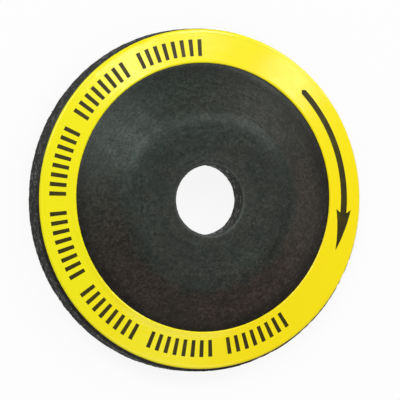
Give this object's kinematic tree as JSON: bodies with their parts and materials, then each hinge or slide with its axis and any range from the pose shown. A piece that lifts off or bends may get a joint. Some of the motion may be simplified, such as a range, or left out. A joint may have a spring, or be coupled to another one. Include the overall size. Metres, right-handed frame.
{
  "type": "grinding disc",
  "caption": "Small depressed-centre grinding disc: a pressed abrasive body with a raised hub and plain bore, and a yellow label ring on the back of its rim.",
  "frame": {"origin": "on the bore's axis, in the plane that the disc rests on with its working face down", "axes": "+Z along the bore's axis, from the working face towards the hub's back and the label; +X and +Y are any two directions across the disc, set by the printed arrow's place"},
  "size_m": [0.05, 0.05, 0.0085],
  "materials": {
    "abrasive": "dark resin-bonded grit, matt with a faint sheen",
    "label": "coated yellow paper with black print"
  },
  "bodies": {
    "root": {"abrasive_body": "abrasive", "label_ring": "label"}
  },
  "joints": []
}
